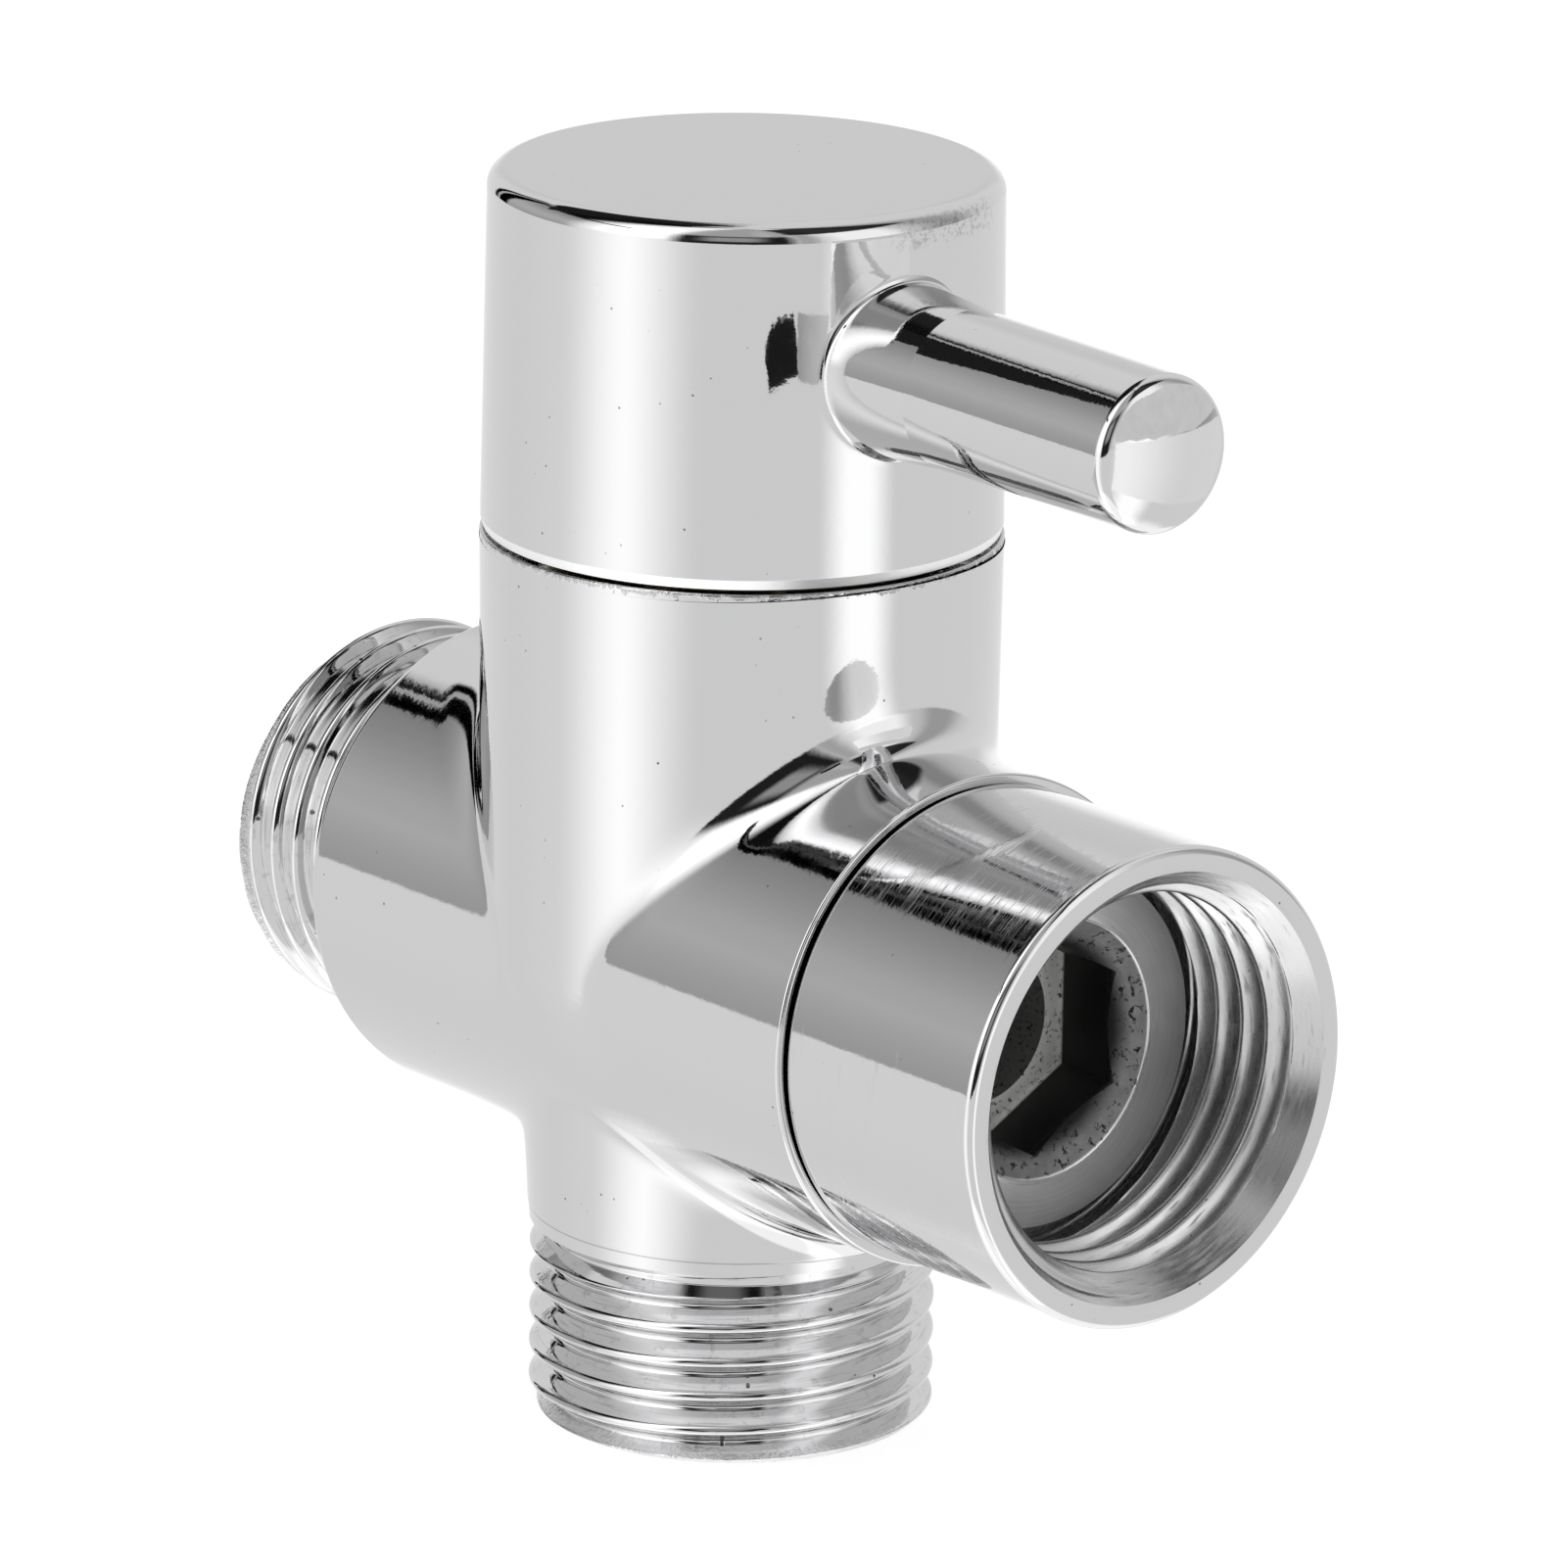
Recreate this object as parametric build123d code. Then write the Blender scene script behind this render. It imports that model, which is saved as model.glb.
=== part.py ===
"""Three-way shower diverter valve: a swivel nut inlet, two male outlets and a quarter-turn lever knob.

Millimetres. +Z runs up the knob's axis from the centre of the hose outlet's end face, +X runs along the
flow axis towards the inlet nut, and the head outlet points to -X. At rest the lever lies over the inlet,
turned a little from the end of its quarter turn.
"""

from build123d import *
from math import asin, cos, radians, sin
import os

# G 1/2 pipe threads, as plain cylinders at the crest of the male and of the female thread
male_thread_radius = 10.4
female_thread_radius = 9.4
female_mouth_radius = 10.9
thread_lead = 0.45
thread_relief_radius = 9.45
thread_relief_width = 0.8
outlet_bore_radius = 7.0

# Body casting
neck_length = 1.3
column_height = 21.5
column_overhang = 0.6
column_taper = 0.15
column_foot_rounding = 6.0
column_rim_rounding = 0.4
barrel_radius = 12.6
barrel_to_head = 19.5
barrel_to_inlet = 18.3
barrel_shoulder_rounding = 0.9
barrel_face_rounding = 0.3
crossing_fillet = 3.0
neck_radius = 10.5
neck_root_radius = 10.75
neck_fillet = 1.7
neck_lip = 0.9
hose_thread_length = 9.3
head_thread_length = 9.2

# Valve chamber and its ports, with depths below and above the flow axis
chamber_radius = 9.0
chamber_floor_depth = 9.6
floor_hole_radius = 5.7
hose_bore_depth = 12.6
bonnet_thread_step = 1.0
bonnet_thread_length = 8.1
inlet_passage_radius = 6.0
head_port_radius = 3.9
head_port_wall = 1.8
locating_rib_radius = 0.9

# Inlet nipple, screwed into the barrel through the nut
nipple_journal_radius = 8.5
nipple_shank_radius = 7.6
nipple_shank_length = 6.1
nipple_flange_radius = 9.1
nipple_flange_thickness = 3.1
nipple_bore_radius = 4.0
hex_key_width = 10.0
hex_socket_depth = 4.8
nipple_sink_radius = 6.7
nipple_sink_depth = 1.2
inlet_gasket_thickness = 0.8
inlet_gasket_inner_radius = 6.2

# Swivel nut
nut_radius = 12.15
nut_length = 13.6
nut_collar_thickness = 2.2
nut_relief_radius = 10.3
nut_relief_width = 3.4
nut_edge_rounding = 0.3
nut_end_play = 0.2

# Seals and ceramic discs at the chamber floor and the head port
seat_gasket_thickness = 0.85
seat_gasket_outer_radius = 7.7
fixed_disc_thickness = 2.0
turning_disc_thickness = 1.6
window_half_angle = 38.0
window_inner_radius = 2.0
window_outer_radius = 5.5
port_seat_radius = 5.0
port_seat_length = 1.3
port_ring_thickness = 1.2

# Rotor
rotor_foot_thickness = 1.5
rotor_wall_height = 9.6
rotor_wall_thickness = 2.0
rotor_wall_half_angle = 40.0
rotor_cap_thickness = 2.6

# Stem
stem_radius = 4.0
stem_flats_width = 6.0
stem_head_radius = 3.85
stem_head_length = 9.9
stem_collar_radius = 6.0
stem_collar_thickness = 1.85
tongue_width = 9.0
tongue_thickness = 3.0
tongue_length = 2.4
stem_ring_groove_radius = 2.9
stem_ring_groove_width = 1.9
stem_ring_spacing = 3.4
thrust_washer_thickness = 0.5

# Bonnet
bonnet_gasket_thickness = 0.8
bonnet_spigot_length = 2.2
bonnet_hex_inset = 0.18
bonnet_hex_height = 4.6
bonnet_nose_radius = 7.4
bonnet_nose_height = 1.2

# Quarter-turn stop and the clip above it
quarter_turn = 90.0
rest_angle = 2.6
stop_tab_half_angle = 12.0
stop_play_angle = 1.5
stop_wall_inner_radius = 5.5
stop_washer_radius = 5.2
stop_washer_thickness = 1.0
clip_radius = 5.0
clip_groove_radius = 2.75
clip_thickness = 0.8
clip_gap_half_angle = 35.0

# Knob casting with its lever
knob_gap = 0.2
knob_height = 18.3
knob_taper = 0.25
knob_top_rounding = 0.6
knob_foot_chamfer = 0.25
knob_foot_chamfer_height = 0.5
knob_wall = 1.7
knob_roof = 2.4
knob_boss_radius = 6.4
knob_socket_play = 0.2
lever_height = 10.55
lever_length = 19.8
lever_radius = 4.05
lever_tip_radius = 3.95
lever_root_radius = 4.5
lever_root_length = 4.8
lever_root_fillet = 0.6
lever_tip_rounding = 0.7
lever_tip_crown = 0.9
screw_boss_radius = 3.6

# Grub screw
screw_radius = 2.0
screw_key_width = 2.0
screw_key_depth = 2.5
screw_recess = 0.5

# Clearances
running_clearance = 0.08
seal_clearance = 0.04
thread_clearance = 0.05
rotor_clearance = 0.3
disc_clearance = 0.1
face_gap = 0.03
washer_gap = 0.05
ring_corner = 0.4
overcut = 1.0

# Radii about the knob's axis
column_radius = barrel_radius + column_overhang
bonnet_thread_radius = chamber_radius + bonnet_thread_step
bonnet_hex_width = 2 * (bonnet_thread_radius - bonnet_hex_inset) * cos(radians(30))
column_foot_radius = column_radius - column_taper
knob_foot_radius = column_radius
knob_top_radius = knob_foot_radius - knob_taper
rotor_radius = chamber_radius - rotor_clearance
rotor_inner_radius = rotor_radius - rotor_wall_thickness
disc_radius = chamber_radius - disc_clearance

# Levels on the knob's axis, from the hose outlet's end face
neck_foot = hose_thread_length + thread_relief_width + neck_lip
flow_height = neck_foot + neck_length + barrel_radius
chamber_floor = flow_height - chamber_floor_depth
fixed_disc_level = chamber_floor + seat_gasket_thickness
turning_disc_level = fixed_disc_level + fixed_disc_thickness + face_gap
rotor_level = turning_disc_level + turning_disc_thickness
rotor_wall_level = rotor_level + rotor_foot_thickness
rotor_cap_level = rotor_wall_level + rotor_wall_height
rotor_top = rotor_cap_level + rotor_cap_thickness
stem_collar_level = rotor_top + washer_gap
thrust_washer_level = stem_collar_level + stem_collar_thickness + washer_gap
bonnet_foot = thrust_washer_level + thrust_washer_thickness
column_top = flow_height + column_height
bonnet_shoulder = bonnet_foot + bonnet_spigot_length
chamber_step = bonnet_shoulder - bonnet_gasket_thickness
bonnet_hex_level = bonnet_shoulder + bonnet_thread_length - bonnet_gasket_thickness
bonnet_nose_level = bonnet_hex_level + bonnet_hex_height
bonnet_top = bonnet_nose_level + bonnet_nose_height
stop_washer_level = bonnet_top + washer_gap
clip_level = stop_washer_level + stop_washer_thickness + washer_gap
stop_wall_top = clip_level
stem_top = stop_washer_level + stem_head_length
knob_foot = column_top + knob_gap
knob_top = knob_foot + knob_height
knob_boss_foot = clip_level + clip_thickness + 2 * knob_socket_play
lever_level = knob_foot + lever_height

# Places along the flow axis, from the knob's axis
nut_start = barrel_to_inlet + nut_end_play
nut_end = nut_start + nut_length
collar_end = nut_start + nut_collar_thickness
flange_start = collar_end + nut_end_play
flange_end = flange_start + nipple_flange_thickness
shank_end = barrel_to_inlet - nipple_shank_length
inlet_step = shank_end - inlet_gasket_thickness
head_end = barrel_to_head + head_thread_length
lever_root_end = knob_foot_radius + lever_root_length
lever_reach = knob_foot_radius + lever_length
port_seat_depth = rotor_radius + port_seat_length + port_ring_thickness
head_bore_end = port_seat_depth + head_port_wall

towards_inlet = Pos(0, 0, flow_height) * Rotation(0, 90, 0)
towards_head = Pos(0, 0, flow_height) * Rotation(0, -90, 0)


def turned(*corners):
    """Solid turned about Z from its corners: radius, height and, where a corner is round, its rounding."""
    face = make_face(Plane.XZ * Polyline(*[corner[:2] for corner in corners], close=True))
    for corner in corners:
        if len(corner) == 3:
            place = Vector(corner[0], 0, corner[1])
            face = fillet(face.vertices().sort_by_distance(place)[0], corner[2])
    return revolve(face, Axis.Z)


def disc(radius, low, high):
    """Plain cylinder on Z between two heights."""
    return Pos(0, 0, low) * Cylinder(radius, high - low, align=(Align.CENTER, Align.CENTER, Align.MIN))


def ring(inner, outer, low, high, rounding=0.0):
    """Ring on Z; a seal squeezed between its seats has round corners."""
    corners = [(inner, low), (outer, low), (outer, high), (inner, high)]
    if rounding:
        corners = [(*corner, rounding) for corner in corners]
    return turned(*corners)


def hexagon(width, low, high):
    """Hexagonal prism on Z with a pair of flats facing along Y."""
    outline = RegularPolygon(width / 2, 6, major_radius=False)
    return extrude(Pos(0, 0, low) * outline, high - low)


def arc_wall(inner, outer, low, high, middle, half_angle):
    """Upright wall that follows an arc about Z, to both sides of the direction at the middle angle."""
    corners = [(inner, low), (outer, low), (outer, high), (inner, high)]
    face = make_face(Plane.XZ * Polyline(*corners, close=True))
    return Rotation(0, 0, middle - half_angle) * revolve(face, Axis.Z, 2 * half_angle)


def flatted(radius, width, low, high):
    """Round bar on Z with two flats that face along X."""
    return disc(radius, low, high) & Pos(0, 0, (low + high) / 2) * Box(width, 3 * radius, high - low)


def blended(first, second, radius):
    """Union of two solids with the crease between them rounded."""
    union = first + second
    return fillet(new_edges(first, second, combined=union), radius)


def casting_form():
    """Outside of the body: barrel, neck and column, blended where they cross."""
    barrel = towards_head * turned(
        (0, -barrel_to_inlet),
        (barrel_radius, -barrel_to_inlet, barrel_face_rounding),
        (barrel_radius, barrel_to_head, barrel_shoulder_rounding),
        (0, barrel_to_head),
    )
    neck = turned(
        (0, neck_foot), (neck_radius, neck_foot), (neck_root_radius, flow_height), (0, flow_height)
    )
    foot_line = flow_height - column_foot_rounding
    column = turned(
        (0, foot_line),
        (column_foot_radius, foot_line, column_foot_rounding),
        (column_foot_radius, flow_height),
        (column_radius, column_top, column_rim_rounding),
        (0, column_top),
    )
    return blended(blended(barrel, neck, neck_fillet), column, crossing_fillet)


def male_thread(length, root_length):
    """Plain core of a male thread that starts at Z = 0: its lead, its relief and a root that runs on."""
    lead_radius = male_thread_radius - thread_lead
    relief_end = length + thread_relief_width
    return turned(
        (0, 0),
        (lead_radius, 0),
        (male_thread_radius, thread_lead),
        (male_thread_radius, length),
        (thread_relief_radius, length),
        (thread_relief_radius, relief_end),
        (thread_relief_radius, relief_end + root_length),
        (0, relief_end + root_length),
    )


def neck_lip_cone():
    """Chamfer that leads from the thread's relief to the neck."""
    low = neck_foot - neck_lip
    return turned((0, low), (neck_radius - neck_lip, low), (neck_radius, neck_foot), (0, neck_foot))


def outlets():
    """Threaded ends of the hose outlet and the head outlet."""
    hose = male_thread(hose_thread_length, neck_lip)
    head_root = head_thread_length - thread_relief_width
    head = Pos(-head_end, 0, flow_height) * Rotation(0, 90, 0) * male_thread(head_root, neck_lip)
    return hose + neck_lip_cone() + head


def chamber():
    """Bored valve chamber, its ribs left standing, with the bonnet's thread above it."""
    ribs = [Pos(0, side * chamber_radius, chamber_floor) for side in (-1, 1)]
    rib_height = fixed_disc_level + fixed_disc_thickness - face_gap - chamber_floor
    space = disc(chamber_radius, chamber_floor, chamber_step)
    for place in ribs:
        space -= place * disc(locating_rib_radius, 0, rib_height)
    return space + disc(bonnet_thread_radius, chamber_step, column_top + overcut)


def water_ways():
    """Bores that lead from the chamber to the hose outlet, the head outlet and the inlet."""
    hose_bore = disc(outlet_bore_radius, -overcut, flow_height - hose_bore_depth)
    floor_hole = disc(floor_hole_radius, flow_height - hose_bore_depth, chamber_floor)
    head = disc(port_seat_radius + thread_clearance, 0, port_seat_depth)
    head += disc(head_port_radius, port_seat_depth, head_bore_end)
    head += disc(outlet_bore_radius, head_bore_end, head_end + overcut)
    inlet = disc(inlet_passage_radius, 0, inlet_step)
    inlet += disc(nipple_shank_radius + thread_clearance, inlet_step, barrel_to_inlet + overcut)
    return [hose_bore, floor_hole, towards_head * head, towards_inlet * inlet]


def valve_body():
    """One-piece casting with its threads and bores."""
    solid = casting_form() + outlets() - chamber()
    for way in water_ways():
        solid -= way
    return solid


def inlet_nipple():
    """Flanged nipple with a hexagon socket, which holds the nut on the barrel."""
    form = turned(
        (nipple_bore_radius, shank_end),
        (nipple_shank_radius, shank_end),
        (nipple_shank_radius, barrel_to_inlet),
        (nipple_journal_radius, barrel_to_inlet),
        (nipple_journal_radius, flange_start),
        (nipple_flange_radius, flange_start),
        (nipple_flange_radius, flange_end),
        (nipple_bore_radius, flange_end),
    )
    sink_floor = flange_end - nipple_sink_depth
    sink = turned(
        (0, sink_floor), (hex_key_width / 2, sink_floor), (nipple_sink_radius, flange_end), (0, flange_end)
    )
    socket = hexagon(hex_key_width, flange_end - hex_socket_depth, flange_end)
    return towards_inlet * (form - socket - sink)


def inlet_gasket():
    """Flat ring between the nipple's end and the step in the inlet."""
    return towards_inlet * ring(inlet_gasket_inner_radius, nipple_shank_radius, inlet_step, shank_end)


def swivel_nut():
    """Round inlet nut: a collar behind the nipple's flange, a relief, the thread's bore, a flared mouth."""
    relief_end = collar_end + nut_relief_width
    mouth_depth = female_mouth_radius - female_thread_radius
    return towards_inlet * turned(
        (nipple_journal_radius + running_clearance, nut_start),
        (nut_radius, nut_start, nut_edge_rounding),
        (nut_radius, nut_end, nut_edge_rounding),
        (female_mouth_radius, nut_end),
        (female_thread_radius, nut_end - mouth_depth),
        (female_thread_radius, relief_end),
        (nut_relief_radius, relief_end),
        (nut_relief_radius, collar_end),
        (nipple_journal_radius + running_clearance, collar_end),
    )


def bonnet():
    """Gland that closes the chamber, guides the stem and carries the stop wall on its nose."""
    bore = stem_radius + running_clearance
    thread = bonnet_thread_radius - thread_clearance
    spigot = chamber_radius - running_clearance
    form = turned(
        (bore, bonnet_foot),
        (spigot, bonnet_foot),
        (spigot, bonnet_shoulder),
        (thread, bonnet_shoulder),
        (thread, bonnet_hex_level),
        (bore, bonnet_hex_level),
    )
    form += hexagon(bonnet_hex_width, bonnet_hex_level, bonnet_nose_level)
    form += disc(bonnet_nose_radius, bonnet_nose_level, bonnet_top)
    free_half_angle = quarter_turn / 2 + stop_tab_half_angle + stop_play_angle
    wall = arc_wall(
        stop_wall_inner_radius, bonnet_nose_radius, bonnet_top, stop_wall_top, 0, 180 - free_half_angle
    )
    wall = Rotation(0, 0, 180 - quarter_turn / 2) * wall
    return form + wall - disc(bore, bonnet_foot, stop_wall_top)


def bonnet_gasket():
    """Flat ring under the bonnet's shoulder."""
    return ring(chamber_radius, bonnet_thread_radius - thread_clearance, chamber_step, bonnet_shoulder)


def windows(low, high):
    """Pair of facing ports through a disc."""
    return [
        arc_wall(window_inner_radius, window_outer_radius, low, high, middle, window_half_angle)
        for middle in (0, 180)
    ]


def with_windows(solid, low, high):
    """The solid with the pair of ports cut through it."""
    for window in windows(low, high):
        solid -= window
    return solid


def seat_gasket():
    """Rubber ring under the fixed disc."""
    return ring(floor_hole_radius + ring_corner, seat_gasket_outer_radius, chamber_floor, fixed_disc_level)


def fixed_disc():
    """Ceramic disc that two ribs of the casting keep from turning."""
    top = fixed_disc_level + fixed_disc_thickness
    solid = with_windows(disc(disc_radius, fixed_disc_level, top), fixed_disc_level, top)
    for side in (-1, 1):
        notch = disc(locating_rib_radius + disc_clearance, fixed_disc_level, top)
        solid -= Pos(0, side * chamber_radius, 0) * notch
    return solid


def turning_disc():
    """Ceramic disc that turns with the rotor."""
    plain = disc(rotor_radius, turning_disc_level, rotor_level)
    return with_windows(plain, turning_disc_level, rotor_level)


def rotor():
    """Carrier with a ported foot, an upright wall that shuts the head port, and a slotted cap."""
    solid = with_windows(disc(rotor_radius, rotor_level, rotor_wall_level), rotor_level, rotor_wall_level)
    solid += arc_wall(
        rotor_inner_radius, rotor_radius, rotor_wall_level, rotor_cap_level, 180, rotor_wall_half_angle
    )
    solid += disc(rotor_radius, rotor_cap_level, rotor_top)
    slot_width = tongue_thickness + 2 * thread_clearance
    slot_length = tongue_width + 2 * thread_clearance
    middle = (rotor_cap_level + rotor_top) / 2
    return solid - Pos(0, 0, middle) * Box(slot_width, slot_length, rotor_cap_thickness)


def port_seat():
    """Sealing ring of the head port, hollowed to the rotor's curve."""
    pocket_floor = port_seat_depth - port_ring_thickness
    bush = towards_head * ring(head_port_radius, port_seat_radius, 0, pocket_floor)
    reach = rotor_radius + seal_clearance
    return bush - disc(reach, flow_height - 2 * reach, flow_height + 2 * reach)


def port_ring():
    """Rubber ring that presses the port's seat against the rotor."""
    low, high = port_seat_depth - port_ring_thickness, port_seat_depth
    return towards_head * ring(head_port_radius, port_seat_radius, low, high, ring_corner)


def stem_ring_levels():
    """Lower edges of the two grooves, spread about the middle of the bonnet's bore."""
    middle = (bonnet_foot + bonnet_top) / 2
    return [middle + side * stem_ring_spacing / 2 - stem_ring_groove_width / 2 for side in (-1, 1)]


def stem():
    """Turned spindle: tongue, thrust collar, grooved shaft and a head with two flats."""
    tongue = disc(tongue_width / 2, stem_collar_level - tongue_length, stem_collar_level)
    tongue &= Pos(0, 0, stem_collar_level) * Box(tongue_thickness, 2 * tongue_width, 2 * tongue_length)
    collar_top = stem_collar_level + stem_collar_thickness
    solid = tongue + disc(stem_collar_radius, stem_collar_level, collar_top)
    solid += disc(stem_radius, collar_top, bonnet_top)
    for low in stem_ring_levels():
        solid -= ring(stem_ring_groove_radius, stem_radius + overcut, low, low + stem_ring_groove_width)
    solid += flatted(stem_head_radius, stem_flats_width, bonnet_top, stem_top)
    return solid - ring(clip_groove_radius, stem_radius + overcut, clip_level, clip_level + clip_thickness)


def stem_ring(low):
    """Rubber ring squeezed between its groove and the bonnet's bore."""
    outer = stem_radius + running_clearance / 2
    return ring(stem_ring_groove_radius, outer, low, low + stem_ring_groove_width, ring_corner)


def thrust_washer():
    """Slippery ring between the stem's collar and the bonnet."""
    return ring(stem_radius + running_clearance, stem_collar_radius, thrust_washer_level, bonnet_foot)


def stop_washer():
    """Stamped washer with a tab, keyed on the stem's flats."""
    low, high = stop_washer_level, stop_washer_level + stop_washer_thickness
    solid = disc(stop_washer_radius, low, high)
    solid += arc_wall(0, bonnet_nose_radius, low, high, 0, stop_tab_half_angle)
    key_radius = stem_head_radius + thread_clearance
    return solid - flatted(key_radius, stem_flats_width + 2 * thread_clearance, low, high)


def stem_clip():
    """Open retaining ring in the stem's groove."""
    high = clip_level + clip_thickness
    solid = ring(clip_groove_radius + thread_clearance, clip_radius, clip_level, high)
    return solid - arc_wall(0, clip_radius + overcut, clip_level, high, 90, clip_gap_half_angle)


def lever():
    """Round lever with a tapered root and a crowned tip."""
    end = lever_reach + lever_tip_crown
    crown_radius = (lever_tip_radius**2 + lever_tip_crown**2) / (2 * lever_tip_crown)
    halfway = asin(lever_tip_radius / crown_radius) / 2
    top_of_arc = (crown_radius * sin(halfway), end - crown_radius * (1 - cos(halfway)))
    side = Polyline(
        (0, end),
        (0, 0),
        (lever_root_radius, 0),
        (lever_root_radius, knob_top_radius - knob_wall),
        (lever_radius, lever_root_end),
        (lever_tip_radius, lever_reach),
    )
    crown = ThreePointArc((lever_tip_radius, lever_reach), top_of_arc, (0, end))
    face = make_face(Plane.XZ * (side + crown))
    tip_corner = face.vertices().sort_by_distance(Vector(lever_tip_radius, 0, lever_reach))[0]
    rod = revolve(fillet(tip_corner, lever_tip_rounding), Axis.Z)
    return Pos(0, 0, lever_level) * Rotation(0, 90, 0) * rod


def knob():
    """Cast cap with its lever, a boss on the stem and a boss for the grub screw."""
    outside = Rotation(0, 0, 180) * turned(
        (0, knob_foot),
        (knob_foot_radius - knob_foot_chamfer, knob_foot),
        (knob_foot_radius, knob_foot + knob_foot_chamfer_height),
        (knob_top_radius, knob_top, knob_top_rounding),
        (0, knob_top),
    )
    ceiling = knob_top - knob_roof
    cavity = turned(
        (0, knob_foot),
        (knob_foot_radius - knob_wall, knob_foot),
        (knob_top_radius - knob_wall, ceiling),
        (0, ceiling),
    )
    across = Pos(0, 0, lever_level) * Rotation(0, -90, 0)
    boss = disc(knob_boss_radius, knob_boss_foot, knob_top - knob_roof / 2)
    boss += across * disc(screw_boss_radius, 0, knob_top_radius - knob_wall / 2)
    solid = blended(outside, lever(), lever_root_fillet) - cavity + boss
    socket = flatted(
        stem_head_radius + thread_clearance,
        stem_flats_width + 2 * thread_clearance,
        knob_boss_foot,
        stem_top + knob_socket_play,
    )
    screw_hole = across * disc(screw_radius + thread_clearance, 0, knob_foot_radius + overcut)
    return solid - socket - screw_hole


def grub_screw():
    """Set screw that bears on the stem's flat from the side away from the lever."""
    tip = stem_flats_width / 2
    end = knob_top_radius - screw_recess
    form = disc(screw_radius, tip, end) - hexagon(screw_key_width, end - screw_key_depth, end)
    return Pos(0, 0, lever_level) * Rotation(0, -90, 0) * form


def fixed_pieces():
    """Pieces that stand still, the nut with them, by name."""
    return {
        "valve_body": valve_body(),
        "inlet_nipple": inlet_nipple(),
        "inlet_gasket": inlet_gasket(),
        "swivel_nut": swivel_nut(),
        "bonnet": bonnet(),
        "bonnet_gasket": bonnet_gasket(),
        "seat_gasket": seat_gasket(),
        "fixed_disc": fixed_disc(),
        "port_seat": port_seat(),
        "port_ring": port_ring(),
    }


def turning_pieces():
    """Pieces that turn with the lever, by name, with the lever along +X."""
    lower_ring, upper_ring = stem_ring_levels()
    return {
        "turning_disc": turning_disc(),
        "rotor": rotor(),
        "stem": stem(),
        "stem_ring_lower": stem_ring(lower_ring),
        "stem_ring_upper": stem_ring(upper_ring),
        "thrust_washer": thrust_washer(),
        "stop_washer": stop_washer(),
        "stem_clip": stem_clip(),
        "knob": knob(),
        "grub_screw": grub_screw(),
    }


pieces = fixed_pieces()
for name, solid in turning_pieces().items():
    pieces[name] = Rotation(0, 0, -rest_angle) * solid

os.makedirs("parts", exist_ok=True)
for name, solid in pieces.items():
    export_step(solid, f"parts/{name}.step")
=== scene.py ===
from math import asin, cos, pi, radians, sin
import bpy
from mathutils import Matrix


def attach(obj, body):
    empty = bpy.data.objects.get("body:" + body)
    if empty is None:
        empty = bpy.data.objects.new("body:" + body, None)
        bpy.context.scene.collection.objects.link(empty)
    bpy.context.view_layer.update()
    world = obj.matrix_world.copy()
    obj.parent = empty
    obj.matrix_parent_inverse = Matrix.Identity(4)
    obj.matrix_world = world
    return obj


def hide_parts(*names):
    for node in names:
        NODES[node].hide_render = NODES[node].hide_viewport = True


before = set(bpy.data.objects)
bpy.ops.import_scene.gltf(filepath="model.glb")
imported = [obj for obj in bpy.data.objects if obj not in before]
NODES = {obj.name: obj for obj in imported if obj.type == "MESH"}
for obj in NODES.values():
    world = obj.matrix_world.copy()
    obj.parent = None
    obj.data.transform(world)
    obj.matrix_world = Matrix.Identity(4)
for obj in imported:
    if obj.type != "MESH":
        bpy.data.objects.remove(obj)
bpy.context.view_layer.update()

from types import SimpleNamespace

import bpy
import numpy as np
from mathutils import Matrix, Vector

MM = 0.001

# Sizes in millimetres: main forms as the valve's solids have them, small edges as their highlights show them.
# First the body casting, from the hose outlet's end face up
FLOW = 24.9
COLUMN_TOP, COLUMN_RADIUS, COLUMN_DRAFT, COLUMN_FOOT, COLUMN_RIM = 46.4, 13.05, 0.15, 6.0, 0.15
BARREL_RADIUS, INLET_END, INLET_EDGE, HEAD_END, HEAD_EDGE = 12.6, 18.3, 0.14, 19.5, 0.9
NECK_RADIUS, NECK_FOOT, NECK_DRAFT, NECK_STEP = 10.5, 11.0, 0.25, 0.05
NECK_FILLET, CROSSING_FILLET = 1.7, 3.0
CHAMBER_RADIUS, CHAMBER_FLOOR, OUTLET_BORE, INLET_BORE = 10.0, 12.2, 7.0, 7.6

# Pipe threads: pitch, half heights of the sharp and the rounded ridge, and where each ridge starts, in turns
PITCH, SHARP_HALF, RIDGE_HALF = 1.8143, 0.871, 0.56
HOSE_START, HEAD_START, NUT_THREAD_START = 0.098, 0.3, 0.3
CREST, RELIEF, LEAD_START, HOSE_THREAD, HEAD_THREAD = 10.4, 9.45, 9.95, 10.1, 9.2
RUN_OUT, RUN_OUT_SLOPE = 0.8, 1.4

# Swivel nut, along the flow axis
NUT_START, NUT_END, NUT_RADIUS, COLLAR_EDGE, MOUTH_EDGE = 18.5, 32.1, 12.15, 0.16, 0.45
COLLAR_BORE, COLLAR_END, MOUTH, MOUTH_SLOPE = 8.58, 20.7, 10.9, 1.0
NUT_CREST, NUT_RELIEF, NUT_RELIEF_END, NUT_RELIEF_SLOPE = 9.4, 10.3, 24.1, 3.0

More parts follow.
